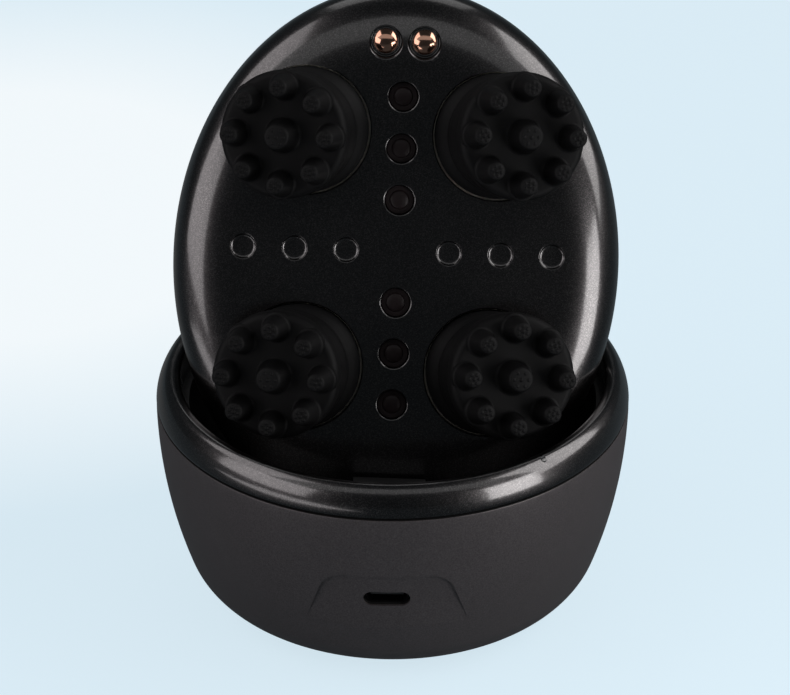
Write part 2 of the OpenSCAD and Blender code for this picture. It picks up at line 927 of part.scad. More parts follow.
module main_board() {
  color(green)
    seated()
      difference() {
        translate([-board_w / 2, button_y - board_l / 2, board_z - 1.2]) cube([board_w, board_l, 1.2]);
        for (p = pegs) translate([p[0], p[1], -60]) cylinder(r = 1.05, h = 60, $fn = 32);
      }
}

module board_chips() {
  color(black)
    seated() {
      translate([6, button_y - 8, board_z - 2.45]) cube([7, 7, 1.2]);
      translate([-13, button_y + 1, board_z - 2.45]) cube([5, 4, 1.2]);
    }
}

module button_switch() {
  color(black)
    seated()
      translate([0, button_y, 0]) {
        translate([-3, -3, board_z - 4.75]) cube([6, 6, 3.5]);
        translate([0, 0, board_z - 5.5]) cylinder(r = 1.7, h = 1, $fn = 48);
      }
}

module power_button() {
  stem_low = board_z - 5.5 - button_travel - 0.1;
  color([0.14, 0.14, 0.15])
    seated() {
      intersection() {
        translate([0, button_y, -70]) cylinder(r = button_r, h = 70 + stem_low - 2.8);
        translate([0, 0, -button_proud]) body(0);
      }
      intersection() {
        translate([0, button_y, -70]) cylinder(r = button_r + 1.2, h = 70 + stem_low - 2.8);
        body(shell_wall + move_gap);
      }
      translate([0, button_y, stem_low - 5]) cylinder(r = 2.2, h = 5, $fn = 48);
    }
}

module shell_seal() {
  color(rubber)
    seated()
      translate([0, 0, -part_depth - 1.2]) oval_ring(a - shell_wall - 0.3, 1.2, 2.4);
}

// ---------- massager, moving pieces ----------

module sun_gear() {
  color(nylon)
    seated()
      translate([0, 0, gear_low])
        linear_extrude(height = gear_t)
          difference() {
            gear_2d(sun_teeth);
            circle(shaft_r + 0.02);
          }
}

module output_shaft() {
  color(steel)
    seated()
      translate([0, 0, back_low - 2.5]) cylinder(r = shaft_r, h = gear_top + 0.7 - back_low + 2.5);
}

module crank(sx, sy) {
  bearing = atan2(sy * hy, sx * hx);
  step_c = 360 / crank_teeth;
  step_s = 360 / sun_teeth;
  first = bearing + 180 + step_c * (0.5 + bearing / step_s);
  color(nylon)
    seated() {
      translate([sx * hx, sy * hy, 0]) {
        translate([0, 0, gear_low]) linear_extrude(height = gear_t) gear_2d(crank_teeth, first);
        translate([0, 0, gear_top - 0.5]) cylinder(r = journal_r, h = -11.5 - gear_top + 0.5);
        translate([0, 0, gear_top - 0.5])
          cylinder(r = journal_r + 1.5, h = carrier_top - carrier_t - move_gap - gear_top + 0.5);
        translate([0, 0, back_low + 0.5]) cylinder(r = tail_r, h = 3.7);
        translate([0, 0, back_top + move_gap]) cylinder(r = tail_r + 2, h = 1);
      }
      head_axis(sx, sy) translate([0, 0, -3]) cylinder(r = post_r, h = 22, $fn = 64);
    }
}

module crank_ul() { crank(-1, 1); }
module crank_ur() { crank(1, 1); }
module crank_ll() { crank(-1, -1); }
module crank_lr() { crank(1, -1); }

// Half profile of a boot above the face, with a soft crease
module boot_half(o, low) {
  polygon([
    [0, low], [boot_r - o, low], [boot_r - o, 1.2], [boot_r - o - 1.2, 2.8],
    [boot_r - o - 0.5, 4.4], [boot_r - o - 0.5, 14], [0, 14]
  ]);
}

module boot(sx, sy) {
  top = pad_at - pad_t - move_gap;
  shift = sin(tilt) * top / (top * cos(tilt) - pivot_depth);
  slant = [[1, 0, shift, 0], [0, 1, 0, 0], [0, 0, 1, 0], [0, 0, 0, 1]];
  color(rubber)
    seated()
      translate([sx * hx, sy * hy, 0])
        rotate([0, 0, lean_dir(sx)]) {
          difference() {
            multmatrix(slant) rotate_extrude() boot_half(0, 0);
            multmatrix(slant) rotate_extrude() boot_half(boot_wall, -1);
            translate([0, 0, -pivot_depth])
              rotate([0, tilt, 0]) translate([-50, -50, top]) cube(100);
          }
          ring(boot_r, boot_r - boot_wall, -3.7, 0);
          ring(boot_r - boot_wall / 2, boot_r - boot_wall - boot_foot, -3.7, -2.5);
        }
}

module boot_ul() { boot(-1, 1); }
module boot_ur() { boot(1, 1); }
module boot_ll() { boot(-1, -1); }
module boot_lr() { boot(1, -1); }

module head_core(sx, sy) {
  low = pad_at - pad_t;
  color([0.16, 0.16, 0.17])
    seated()
      head_axis(sx, sy)
        difference() {
          union() {
            translate([0, 0, 2.6]) cylinder(r = post_r + 2, h = low - 2.6);
            translate([0, 0, low - 1.3]) cylinder(r = 9.8, h = 1.3 - 0.05);
            translate([0, 0, low - 1]) cylinder(r = post_r + 2, h = 3.2);
          }
          translate([0, 0, -1]) cylinder(r = post_r + run_gap, h = 20.4, $fn = 64);
        }
}

module core_ul() { head_core(-1, 1); }
module core_ur() { head_core(1, 1); }
module core_ll() { head_core(-1, -1); }
module core_lr() { head_core(1, -1); }

module finger(root, tip, l) {
  rotate_extrude($fn = 32)
    union() {
      polygon([[0, -0.5], [root, -0.5], [root, 0], [tip, l - 0.8], [tip - 0.8, l], [0, l]]);
      intersection() {
        translate([tip - 0.8, l - 0.8]) circle(0.8);
        translate([0, l - 0.8]) square([10, 1]);
      }
    }
}

module finger_pad(sx, sy) {
  color(rubber)
    seated()
      head_axis(sx, sy)
        translate([0, 0, pad_at]) {
          difference() {
            rotate_extrude()
              union() {
                translate([0, -pad_t]) square([pad_r, pad_t - 1.5]);
                translate([0, -2]) square([pad_r - 1.5, 2]);
                translate([pad_r - 1.5, -1.5]) circle(1.5);
              }
            translate([0, 0, -pad_t - 1]) cylinder(r = post_r + 2.05, h = 3.3);
          }
          for (k = [0:7])
            rotate([0, 0, 45 * k])
              translate([finger_at, 0, 0]) finger(finger_root_r, finger_tip_r, finger_l);
          finger(middle_root_r, middle_tip_r, finger_l);
        }
}

module pad_ul() { finger_pad(-1, 1); }
module pad_ur() { finger_pad(1, 1); }
module pad_ll() { finger_pad(-1, -1); }
module pad_lr() { finger_pad(1, -1); }

// ---------- nodes ----------

sized() dock_shell();
sized() dock_rim();
sized() status_light();
sized() dock_cup();
sized() seat_pad();
sized() base_plate();
sized() dock_feet();
sized() dock_screws();
sized() charge_board();
sized() board_screws();
sized() charge_chip();
sized() usb_shell();
sized() usb_tongue();
sized() pin_block();
sized() pin_barrels();
sized() pin_left();
sized() pin_right();
sized() spring_left();
sized() spring_right();
sized() face_plate();
sized() back_shell();
sized() shell_seal();
sized() led_lenses();
sized() led_board();
sized() led_chips();
sized() contact_collars();
sized() contact_pins();
sized() boot_rings();
sized() front_carrier();
sized() rear_carrier();
sized() crank_bushes();
sized() chassis_screws();
sized() gearbox();
sized() gearbox_screws();
sized() motor();
sized() battery();
sized() main_board();
sized() board_chips();
sized() button_switch();
sized() power_button();
sized() sun_gear();
sized() output_shaft();
sized() crank_ul();
sized() crank_ur();
sized() crank_ll();
sized() crank_lr();
sized() boot_ul();
sized() boot_ur();
sized() boot_ll();
sized() boot_lr();
sized() core_ul();
sized() core_ur();
sized() core_ll();
sized() core_lr();
sized() pad_ul();
sized() pad_ur();
sized() pad_ll();
sized() pad_lr();
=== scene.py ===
import math

import bpy
from mathutils import Matrix, Vector


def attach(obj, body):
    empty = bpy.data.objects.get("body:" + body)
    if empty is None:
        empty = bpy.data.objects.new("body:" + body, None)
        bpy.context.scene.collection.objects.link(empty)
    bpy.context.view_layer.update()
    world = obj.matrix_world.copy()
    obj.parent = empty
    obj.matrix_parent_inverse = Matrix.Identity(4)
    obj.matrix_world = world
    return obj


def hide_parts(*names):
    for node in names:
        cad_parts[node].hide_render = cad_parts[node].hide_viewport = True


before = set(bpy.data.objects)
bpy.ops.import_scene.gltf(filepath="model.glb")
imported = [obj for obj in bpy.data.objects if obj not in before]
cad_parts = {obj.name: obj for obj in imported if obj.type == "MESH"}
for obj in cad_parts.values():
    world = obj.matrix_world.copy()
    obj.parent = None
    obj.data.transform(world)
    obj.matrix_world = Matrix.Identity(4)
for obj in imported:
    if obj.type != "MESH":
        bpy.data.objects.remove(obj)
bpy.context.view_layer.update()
mm = 0.001
# points this near to each other become one, in metres
ringGap = 0.0000015
carvedGap = 0.000002
print("frame loaded,", len(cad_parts), "nodes")


# small helpers for modelling; all lengths that they take are in millimetres

def clearSelection():
    if bpy.context.object and bpy.context.object.mode != "OBJECT":
        bpy.ops.object.mode_set(mode="OBJECT")
    bpy.ops.object.select_all(action="DESELECT")


def pick(*things):
    clearSelection()
    for thing in things:
        thing.select_set(True)
    bpy.context.view_layer.objects.active = things[0]


def smooth(piece, degrees=30):
    pick(piece)
    bpy.ops.object.shade_smooth_by_angle(angle=math.radians(degrees))
    return piece


def named(name):
    piece = bpy.context.object
    piece.name = name
    piece.data.name = name
    return piece


def shift(x, y, z):
    return Matrix.Translation((x * mm, y * mm, z * mm))


def turn(degrees, axis):
    return Matrix.Rotation(math.radians(degrees), 4, axis)


def moved(piece, matrix):
    piece.matrix_world = matrix @ piece.matrix_world
    pick(piece)
    bpy.ops.object.transform_apply(location=True, rotation=True, scale=True)
    return piece


def copied(piece, name, matrix):
    pick(piece)
    bpy.ops.object.duplicate(linked=False)
    return moved(named(name), matrix)


def joined(name, pieces):
    pick(*pieces)
    bpy.ops.object.join()
    return named(name)


def repeated(name, model, matrices):
    # one piece of many copies; the model itself goes
    copies = [copied(model, name + "Copy", matrix) for matrix in matrices]
    bpy.data.objects.remove(model)
    return joined(name, copies)


def turned(name, rings, steps=128, closed=False, degrees=30, sway=0):
    # a circle is drawn out ring by ring, as on a lathe; rings are (radius, height)
    # and sway carries them sideways as they rise above zero
    clearSelection()
    r, z = rings[0]
    bpy.ops.mesh.primitive_circle_add(vertices=steps, radius=r * mm)
    piece = named(name)
    bpy.ops.object.mode_set(mode="EDIT")
    bpy.ops.mesh.select_all(action="SELECT")
    x = max(z, 0) * sway
    bpy.ops.transform.translate(value=(x * mm, 0, z * mm))
    for nextR, nextZ in rings[1:] + (rings[:1] if closed else []):
        nextX = max(nextZ, 0) * sway
        rise = ((nextX - x) * mm, 0, (nextZ - z) * mm)
        bpy.ops.mesh.extrude_region_move(TRANSFORM_OT_translate={"value": rise})
        grow = max(nextR, 0.0001) / max(r, 0.0001)
        centre = (nextX * mm, 0, nextZ * mm)
        bpy.ops.transform.resize(value=(grow, grow, 1), center_override=centre)
        r, z, x = nextR, nextZ, nextX
    bpy.ops.mesh.select_all(action="SELECT")
    bpy.ops.mesh.remove_doubles(threshold=ringGap)
    if not closed:
        bpy.ops.mesh.select_all(action="SELECT")
        bpy.ops.mesh.fill_holes(sides=0)
    bpy.ops.mesh.select_all(action="SELECT")
    bpy.ops.mesh.normals_make_consistent(inside=False)
    bpy.ops.object.mode_set(mode="OBJECT")
    return smooth(piece, degrees)


def arc(cx, cz, rx, rz, start, end, count, power=2):
    # points of an ellipse's arc, angles in degrees from the +r axis; a power over two makes
    # a quarter of it fuller and a power under two slimmer
    points = []
    for i in range(count + 1):
        t = math.radians(start + (end - start) * i / count)
        across, up = math.cos(t), math.sin(t)
        if power != 2:
            across, up = abs(across) ** (2 / power), abs(up) ** (2 / power)
        points.append((cx + rx * across, cz + rz * up))
    return points


def block(name, size, matrix):
    clearSelection()
    bpy.ops.mesh.primitive_cube_add(size=1)
    return moved(named(name), matrix @ Matrix.Diagonal((*[side * mm for side in size], 1)))


def drill(name, radius, low, high, steps):
    return turned(name, [(radius, low), (radius, high)], steps)


def enterEdit(piece, chosen):
    # edit mode, with the vertices selected that a rule picks by their place
    pick(piece)
    bpy.ops.object.mode_set(mode="EDIT")
    bpy.ops.mesh.select_mode(type="VERT")
    bpy.ops.mesh.select_all(action="DESELECT")
    bpy.ops.object.mode_set(mode="OBJECT")
    for vertex in piece.data.vertices:
        vertex.select = chosen(vertex.co / mm)
    bpy.ops.object.mode_set(mode="EDIT")


def nudged(piece, chosen, by):
    enterEdit(piece, chosen)
    bpy.ops.transform.translate(value=[value * mm for value in by])
    bpy.ops.object.mode_set(mode="OBJECT")
    return piece


def carved(piece, cutter, operation="DIFFERENCE"):
    pick(piece)
    tool = piece.modifiers.new("carve", "BOOLEAN")
    tool.operation = operation
    tool.solver = "EXACT"
    tool.object = cutter
    bpy.ops.object.modifier_apply(modifier=tool.name)
    bpy.data.objects.remove(cutter)
    return piece


def softened(piece, width, segments):
    # only the sharp edges are rounded
    pick(piece)
    tool = piece.modifiers.new("soften", "BEVEL")
    tool.width = width * mm
    tool.segments = segments
    tool.limit_method = "ANGLE"
    tool.angle_limit = math.radians(40)
    bpy.ops.object.modifier_apply(modifier=tool.name)
    return smooth(piece)


def welded(piece):
    # close the hairline gaps that a carving can leave
    pick(piece)
    bpy.ops.object.mode_set(mode="EDIT")
    bpy.ops.mesh.select_all(action="SELECT")
    bpy.ops.mesh.remove_doubles(threshold=carvedGap)
    bpy.ops.object.mode_set(mode="OBJECT")
    return piece


def levelled(piece):
    # large flat faces keep their own direction beside small fillets
    pick(piece)
    tool = piece.modifiers.new("level", "WEIGHTED_NORMAL")
    tool.mode = "FACE_AREA"
    tool.weight = 100
    tool.keep_sharp = True
    bpy.ops.object.modifier_apply(modifier=tool.name)
    return piece


# sizes of the bowl, and the seat of the massager in it

dock = {
    "radius": 50.0, "seamHeight": 43.5, "sideRadius": 110.0, "cornerRadius": 12.0,
    "groundGap": 0.6, "wall": 2.2, "baseHole": 29.9,
    # each step of the top edge: in from the side, down from the seam
    "lip": [(0.03, 0.30), (0.12, 0.12), (0.32, 0.04)],
    "slotWidth": 9.6, "slotHeight": 3.6, "slotAt": 23.1, "slotFront": -60.0, "slotBack": -40.0,
    "recessTop": 29.4, "recessTopWidth": 25.0, "recessLow": 15.5, "recessLowWidth": 33.5,
    "recessDepth": 0.7, "recessCorner": 4.0, "panelAt": -50.0, "panelDepth": 40.0,
}
seat = {"at": (1.05, -0.85, 78.0), "lean": 23.5, "turn": 2.5, "roll": 2.6}
seated = (shift(*seat["at"]) @ turn(seat["turn"], "Z") @ turn(90 - seat["lean"], "X")
          @ turn(-seat["roll"], "Z"))


# materials

class Wire:
    # one socket, so that a mask can be written as a sum
    def __init__(self, finish, socket):
        self.finish = finish
        self.socket = socket

    def maths(self, operation, first, second):
        return self.finish.node("ShaderNodeMath", {"operation": operation},
                                {0: first, 1: second})

    def __add__(self, other):
        return self.maths("ADD", self, other)

    def __sub__(self, other):
        return self.maths("SUBTRACT", self, other)

    def __rsub__(self, other):
        return self.maths("SUBTRACT", other, self)

    def __mul__(self, other):
        return self.maths("MULTIPLY", self, other)

    def __pow__(self, other):
        return self.maths("POWER", self, other)

    def over(self, limit):
        return self.maths("GREATER_THAN", self, limit)

    __radd__ = __add__
    __rmul__ = __mul__


class Finish:
    def __init__(self, name):
        self.material = bpy.data.materials.new(name)
        self.material.use_nodes = True
        self.tree = self.material.node_tree
        self.tree.nodes.clear()
        self.output = self.tree.nodes.new("ShaderNodeOutputMaterial")
        self.skin = self.tree.nodes.new("ShaderNodeBsdfPrincipled")
        self.tree.links.new(self.skin.outputs[0], self.output.inputs[0])
        self.place = self.node("ShaderNodeTexCoord", {}, {}, "Object")

    def feed(self, node, sockets):
        for key, value in sockets.items():
            if isinstance(value, Wire):
                self.tree.links.new(value.socket, node.inputs[key])
            else:
                node.inputs[key].default_value = value

    def node(self, kind, settings, sockets, output=0):
        made = self.tree.nodes.new(kind)
        for key, value in settings.items():
            if key == "stops":
                while len(made.color_ramp.elements) < len(value):
                    made.color_ramp.elements.new(0.5)
                for element, (position, colour) in zip(made.color_ramp.elements, value):
                    element.position = position
                    element.color = (*colour, 1)
            else:
                setattr(made, key, value)
        self.feed(made, sockets)
        return Wire(self, made.outputs[output])

    def noise(self, scale, detail):
        return self.node("ShaderNodeTexNoise", {},
                         {"Vector": self.place, "Scale": scale, "Detail": detail})

    def ramp(self, factor, stops):
        return self.node("ShaderNodeValToRGB", {"stops": stops}, {"Fac": factor})

    def mix(self, factor, first, second):
        # sockets 6 and 7 are the two colours, and output 2 is the mixed one
        return self.node("ShaderNodeMix", {"data_type": "RGBA"},
                         {0: factor, 6: first, 7: second}, 2)

    def mixShaders(self, factor, first, second):
        return self.node("ShaderNodeMixShader", {}, {0: factor, 1: first, 2: second})

    def bump(self, height, strength, distance):
        return self.node("ShaderNodeBump", {},
                         {"Height": height, "Strength": strength, "Distance": distance * mm})

    def paint(self, **sockets):
        # Base_Color stands for the socket Base Color, and so on
        self.feed(self.skin, {key.replace("_", " "): value for key, value in sockets.items()})
        return self.material


def rgb(*values):
    return (*values, 1)


pearlLook = {
    "base": (0.030, 0.0285, 0.0290), "flake": (0.085, 0.080, 0.081), "flakeScale": 6500,
    "hazeScale": 90, "roughness": 0.30, "roughnessSpread": 0.06, "tilt": 0.10,
    "coatRoughness": 0.13, "rimCoatRoughness": 0.12,
}


def pearlFinish(name, coatRoughness):
    # dark metal flakes of many tilts under a clear lacquer
    finish = Finish(name)
    cells = finish.node("ShaderNodeTexVoronoi", {"feature": "F1"},
                        {"Vector": finish.place, "Scale": pearlLook["flakeScale"]}, "Color")
    split = finish.node("ShaderNodeSeparateColor", {}, {0: cells}, 0)
    other = finish.node("ShaderNodeSeparateColor", {}, {0: cells}, 1)
    bright = split ** 3
    haze = finish.noise(pearlLook["hazeScale"], 2)
    return finish.paint(
        Base_Color=finish.mix(bright, rgb(*pearlLook["base"]), rgb(*pearlLook["flake"])),
        Roughness=pearlLook["roughness"] + (haze - 0.5) * pearlLook["roughnessSpread"],
        Normal=finish.bump(other, pearlLook["tilt"], 0.02),
        Metallic=1,
        Coat_Weight=1,
        Coat_Roughness=coatRoughness,
    )


satinLook = {
    "dark": (0.034, 0.0297, 0.0306), "light": (0.066, 0.0582, 0.0598),
    "paintedShade": (0.003, 0.003, 0.003), "metallic": 0.5, "roughness": 0.46, "roughnessSpread": 0.12,
    "paintedShadeRoughness": 0.4, "grainScale": 3400, "cloudScale": 60, "cloudShare": 0.2,
    "contrast": 2.4, "bump": 0.2, "shadeDepth": 0.95, "jointDepth": 0.1, "innerLow": 13.0,
}


def satinFinish():
    # satin paint outside; as painted shade, the joint face under the rim and the wall inside the
    # slot are coloured near black
    finish = Finish("satinGrey")
    grain = finish.noise(satinLook["grainScale"], 1)
    cloud = finish.noise(satinLook["cloudScale"], 2)
    height = finish.node("ShaderNodeSeparateXYZ", {}, {0: finish.place}, 2)
    flat = finish.node("ShaderNodeVectorMath", {"operation": "MULTIPLY"},
                       {0: finish.place, 1: (1, 1, 0)})
    axis = finish.node("ShaderNodeVectorMath", {"operation": "LENGTH"}, {0: flat}, "Value")
    side, radius, seam = [dock[key] * mm for key in ("sideRadius", "radius", "seamHeight")]
    skin = (side ** 2 - (seam - height) ** 2) ** 0.5 + (radius - side)
    # painted shade: the walls inside the bowl and the slot above innerLow, and the joint face
    # just under the rim, take a near-black, rougher colour that stands in for the shade falling
    # there
    deep = (skin - axis).over(satinLook["shadeDepth"] * mm)
    inside = deep * height.over(satinLook["innerLow"] * mm)
    paintedShade = inside + height.over((dock["seamHeight"] - satinLook["jointDepth"]) * mm)
    speck = (grain - 0.5) * satinLook["contrast"] + 0.5
    share = satinLook["cloudShare"]
    paint = finish.mix(speck * (1 - share) + cloud * share,
                       rgb(*satinLook["dark"]), rgb(*satinLook["light"]))
    rough = satinLook["roughness"] + (grain - 0.5) * satinLook["roughnessSpread"]
    return finish.paint(
        Base_Color=finish.mix(paintedShade, paint, rgb(*satinLook["paintedShade"])),
        Roughness=rough + paintedShade * satinLook["paintedShadeRoughness"],
        Normal=finish.bump(grain, satinLook["bump"], 0.02),
        Metallic=satinLook["metallic"],
    )


def plainFinish(name, colour, roughness, metallic=0.0, grain=900, spread=0.15,
                bumpiness=0.05, coat=0.0, gloss=0.5):
    finish = Finish(name)
    speckle = finish.noise(grain, 2)
    dark = [value * (1 - spread) for value in colour]
    light = [min(1, value * (1 + spread)) for value in colour]
    return finish.paint(
        Base_Color=finish.mix(speckle, rgb(*dark), rgb(*light)),
        Roughness=roughness + (speckle - 0.5) * 0.1,
        Normal=finish.bump(speckle, bumpiness, 0.03),
        Metallic=metallic,
        Coat_Weight=coat,
        Coat_Roughness=0.06,
        Specular_IOR_Level=gloss,
    )


finishes = {
    "pearl": pearlFinish("pearlLacquer", pearlLook["coatRoughness"]),
    "rimPearl": pearlFinish("rimLacquer", pearlLook["rimCoatRoughness"]),
    "satin": satinFinish(),
    "cup": plainFinish("cupBlack", (0.005, 0.005, 0.0053), 0.5, grain=3000),
    "silicone": plainFinish("siliconeBlack", (0.0024, 0.0024, 0.0026), 0.60, grain=2500,
                            bumpiness=0.08, gloss=0.10),
    "core": plainFinish("coreNylon", (0.05, 0.05, 0.055), 0.5),
    "nylon": plainFinish("naturalNylon", (0.72, 0.70, 0.62), 0.45, grain=400, spread=0.05),
    "bronze": plainFinish("sinteredBronze", (0.45, 0.28, 0.12), 0.45, metallic=1, grain=2500,
                          bumpiness=0.15),
    "gold": plainFinish("contactGold", (0.50, 0.28, 0.20), 0.13, metallic=1, grain=1500,
                        spread=0.06, bumpiness=0.02),
    "steel": plainFinish("brightSteel", (0.62, 0.62, 0.63), 0.28, metallic=1, grain=1800,
                         spread=0.08),
    "motorSteel": plainFinish("drawnSteel", (0.5, 0.5, 0.51), 0.35, metallic=1, grain=700,
                              spread=0.1),
    "glossResin": plainFinish("polishedResin", (0.006, 0.006, 0.0062), 0.16, grain=2600,
                              spread=0.1, bumpiness=0.01, coat=0.6),
    "resin": plainFinish("blackResin", (0.012, 0.012, 0.013), 0.4, grain=2600),
    "board": plainFinish("boardGreen", (0.02, 0.12, 0.05), 0.35, grain=350, spread=0.2),
    "sleeve": plainFinish("batterySleeve", (0.06, 0.13, 0.42), 0.3, grain=200, spread=0.08,
                          coat=0.4),
    "lens": plainFinish("lensRed", (0.0065, 0.0036, 0.0038), 0.45, grain=600, spread=0.1,
                        bumpiness=0.01, gloss=0.18),
    "lamp": plainFinish("lampResin", (0.85, 0.78, 0.5), 0.3, spread=0.05),
    "pipe": plainFinish("smokedPipe", (0.012, 0.012, 0.013), 0.2, spread=0.05, coat=0.5),
    "inletSteel": plainFinish("darkInletSteel", (0.02, 0.02, 0.021), 0.45, metallic=1,
                              grain=1800, spread=0.08),
    "button": plainFinish("buttonGrey", (0.03, 0.03, 0.032), 0.38, grain=3200,
                          bumpiness=0.06),
}

# nodes that keep their own shape and only get a finish
nodeFinish = {
    "cup": ["pin_block"],
    "satin": ["base_plate"],
    "silicone": ["seat_pad", "dock_feet", "shell_seal"],
    "core": ["core_ul", "core_ur", "core_ll", "core_lr"],
    "nylon": ["crank_ul", "crank_ur", "crank_ll", "crank_lr", "sun_gear", "front_carrier",
              "rear_carrier", "boot_rings"],
    "bronze": ["crank_bushes"],
    "gold": ["pin_left", "pin_right", "pin_barrels"],
    "steel": ["board_screws", "chassis_screws", "gearbox_screws", "output_shaft",
              "spring_left", "spring_right"],
    "inletSteel": ["usb_shell"],
    "motorSteel": ["motor", "gearbox"],
    "resin": ["usb_tongue", "charge_chip", "board_chips", "button_switch"],
    "board": ["charge_board", "led_board", "main_board"],
    "sleeve": ["battery"],
    "lamp": ["led_chips"],
    "pipe": ["status_light"],
}
for finishName, nodeNames in nodeFinish.items():
    for nodeName in nodeNames:
        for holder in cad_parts[nodeName].material_slots:
            holder.material = finishes[finishName]
print("finishes ready")


def finished(piece, finishName, body, slotName, *nodeNames):
    piece.data.materials.clear()
    piece.data.materials.append(finishes[finishName])
    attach(piece, body)
    if nodeNames:
        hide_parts(*nodeNames)
    return piece


# dock

sideCentre = dock["radius"] - dock["sideRadius"]


def sideAt(height):
    return sideCentre + math.sqrt(dock["sideRadius"] ** 2 - (dock["seamHeight"] - height) ** 2)


def bowlOutline(inset):
    cornerZ = dock["groundGap"] + dock["cornerRadius"]
    reach = dock["sideRadius"] - dock["cornerRadius"]
    cornerX = sideCentre + math.sqrt(reach ** 2 - (dock["seamHeight"] - cornerZ) ** 2)
    meet = math.degrees(math.asin((dock["seamHeight"] - cornerZ) / reach))
    small, large = dock["cornerRadius"] - inset, dock["sideRadius"] - inset
    corner = arc(cornerX, cornerZ, small, small, -90, -meet, 18)
    side = arc(sideCentre, dock["seamHeight"], large, large, -meet, 0, 22)
    return corner + side[1:]


def makeBowl():
    outer = bowlOutline(0)
    lip = [(dock["radius"] - inset, dock["seamHeight"] - drop) for inset, drop in dock["lip"]]
    inner = list(reversed(bowlOutline(dock["wall"])))
    rings = ([(dock["baseHole"], dock["groundGap"])] + outer[:-1] + lip + inner
             + [(dock["baseHole"], dock["groundGap"] + dock["wall"])])
    return turned("bowlShell", rings, 256, closed=True)


def makeRecessCutter():
    # a rounded panel pushed through the wall, less a cone that runs out of the bowl below
    low, high, at = dock["recessLow"], dock["recessTop"], dock["panelAt"]
    panel = block("recessCutter", (dock["recessLowWidth"], dock["panelDepth"], high - low),
                  shift(0, at, (high + low) / 2))
    enterEdit(panel, lambda point: point.z > high - 1)
    bpy.ops.transform.resize(value=(dock["recessTopWidth"] / dock["recessLowWidth"], 1, 1),
                             center_override=(0, at * mm, high * mm))
    bpy.ops.object.mode_set(mode="OBJECT")
    for edge in panel.data.edges:
        one, other = [panel.data.vertices[i].co for i in edge.vertices]
        edge.select = min(one.z, other.z) > (high - 1) * mm and abs(one.x - other.x) < 0.00001
    bpy.ops.object.mode_set(mode="EDIT")
    bpy.ops.mesh.select_mode(type="EDGE")
    bpy.ops.mesh.bevel(offset=dock["recessCorner"] * mm, offset_type="OFFSET", segments=14)
    bpy.ops.object.mode_set(mode="OBJECT")
    core = turned("recessCore", [(sideAt(low) + 0.1, low - 0.01),
                                 (sideAt(high) - dock["recessDepth"], high + 0.01)], 256)
    return carved(panel, core)


def makeSlotCutter():
    # a round bar whose halves are pulled apart
    front, back = dock["slotFront"], dock["slotBack"]
    half = (dock["slotWidth"] - dock["slotHeight"]) / 2
    steps = 48
    clearSelection()
    bpy.ops.mesh.primitive_cylinder_add(vertices=steps, radius=dock["slotHeight"] / 2 * mm,
                                        depth=(back - front) * mm)
    cutter = named("slotCutter")
    # half a step of turn keeps every vertex off the middle
    moved(cutter, shift(0, (front + back) / 2, dock["slotAt"]) @ turn(90, "X")
          @ turn(180 / steps, "Z"))
    nudged(cutter, lambda point: point.x > 0, (half, 0, 0))
    return nudged(cutter, lambda point: point.x < 0, (-half, 0, 0))


bowl = makeBowl()
carved(bowl, makeRecessCutter())
carved(bowl, makeSlotCutter())
levelled(smooth(welded(bowl)))
finished(bowl, "satin", "dock", "bowl_satin", "dock_shell")

rim = {
    "top": 50.0, "crown": 46.6, "bore": 44.8, "drop": 1.3, "low": 43.84, "seat": 43.4,
    "inner": 47.5, "fullness": 1.75, "curl": 0.38,
    # each step of the hem in curls: in from the side, up from the low edge
    "hem": [(1.6, 0), (0.8, 0.15), (0.25, 0.5)],
    "light": 0.65, "lightAt": 47.4, "lightTurn": 41.3, "lightLow": 40.0, "lightTop": 55.0,
}


def makeRim():
    outer = arc(rim["crown"], rim["low"], dock["radius"] - rim["crown"],
                rim["top"] - rim["low"], 0, 90, 30, rim["fullness"])
    inner = arc(rim["crown"], rim["top"] - rim["drop"], rim["crown"] - rim["bore"],
                rim["drop"], 90, 180, 14)
    curl = rim["curl"]
    hem = [(dock["radius"] - inset * curl, rim["low"] + up * curl) for inset, up in rim["hem"]]
    outer = [point for point in outer if point[1] > rim["low"] + curl]
    rings = ([(rim["inner"], rim["seat"]), (rim["inner"], rim["low"])] + hem
             + outer + inner[1:] + [(rim["bore"], rim["seat"])])
    ring = turned("rimRing", rings, 320, closed=True)
    hole = drill("lightCutter", rim["light"], rim["lightLow"], rim["lightTop"], 32)
    moved(hole, turn(rim["lightTurn"] - 90, "Z") @ shift(rim["lightAt"], 0, 0))
    return smooth(carved(ring, hole))


finished(makeRim(), "rimPearl", "dock", "shell_pearl", "dock_rim")

cup = {
    "radius": 46.25, "floor": 13.8, "wall": 2.0, "top": 43.3, "flange": 1.4,
    "flangeRadius": 47.5, "bosses": 20.0, "bossRadius": 3.2, "bossLow": 3.1, "bossTop": 17.4,
    "screwHole": 1.15, "holeLow": 1.0, "holeTop": 12.0,
}


def makeCup():
    # both arcs stop a degree short of the axis
    centre = cup["floor"] + cup["radius"]
    outside = cup["radius"] + cup["wall"]
    under = cup["top"] - cup["flange"]
    endIn = -math.degrees(math.asin((centre - cup["top"]) / cup["radius"]))
    endOut = -math.degrees(math.asin((centre - under) / outside))
    inner = arc(0, centre, cup["radius"], cup["radius"], -89, endIn, 48)
    outer = arc(0, centre, outside, outside, endOut, -89, 40)
    flange = [(cup["flangeRadius"], cup["top"]), (cup["flangeRadius"], under)]
    body = turned("cupLiner", inner + flange + outer, 192)
    for quarter in range(4):
        place = turn(90 * quarter, "Z") @ shift(cup["bosses"], 0, 0)
        boss = drill("boss", cup["bossRadius"], cup["bossLow"], cup["bossTop"], 48)
        carved(body, moved(boss, place), "UNION")
        hole = drill("bossHole", cup["screwHole"], cup["holeLow"], cup["holeTop"], 32)
        carved(body, moved(hole, place))
    return smooth(body)


finished(makeCup(), "cup", "dock", "cup_black", "dock_cup")

